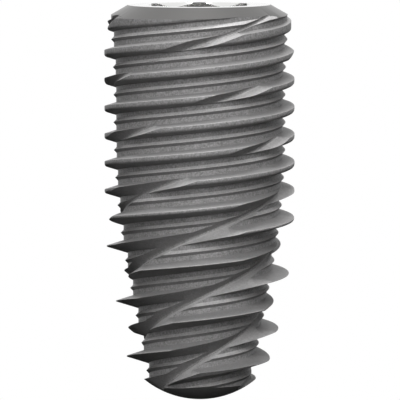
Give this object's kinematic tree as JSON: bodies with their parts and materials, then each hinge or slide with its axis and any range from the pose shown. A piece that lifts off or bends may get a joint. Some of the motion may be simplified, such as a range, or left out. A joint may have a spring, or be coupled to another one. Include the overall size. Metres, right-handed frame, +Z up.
{
  "type": "dental implant body",
  "caption": "Tapered screw-shaped dental implant body with helical cutting flutes, a flat platform with an internal hexagon connection and a domed apex.",
  "frame": {"origin": "centre of the flat platform at the top, which is the mouth of the connection", "axes": "+Z up along the screw's axis, out of the connection; the body hangs below the origin to the domed apex; -Y faces the viewer of the picture and +X is to its right"},
  "size_m": [0.0048, 0.0048, 0.01],
  "materials": {
    "titanium": "dark grey titanium, grit blasted and etched to a fine matt grain"
  },
  "bodies": {
    "root": {"implant_body": "titanium"}
  },
  "joints": []
}
